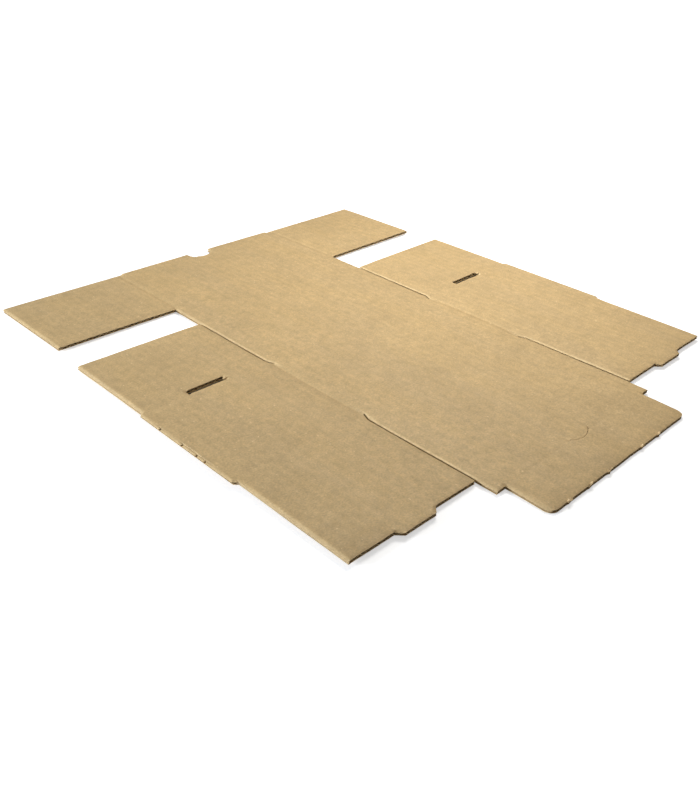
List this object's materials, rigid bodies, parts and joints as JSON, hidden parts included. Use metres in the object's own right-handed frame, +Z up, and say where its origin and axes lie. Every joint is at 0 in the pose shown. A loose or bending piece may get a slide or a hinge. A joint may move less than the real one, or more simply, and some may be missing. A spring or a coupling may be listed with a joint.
{
  "type": "flattened cardboard box",
  "caption": "Die-cut box blank of single-wall corrugated board lying flat, with a lid with side wings, side panels with lock slots and tabs, and a tuck flap.",
  "frame": {"origin": "centre of the underside: below the middle of the blank's length and width", "axes": "+X across the blank, +Y along it towards the lid, +Z up from the underside through the 3 mm board; the flutes run along Y"},
  "size_m": [0.415, 0.472, 0.003],
  "materials": {
    "kraft_board": "matt, faint flute lines"
  },
  "bodies": {
    "root": {"box_blank": "kraft_board"}
  },
  "joints": []
}
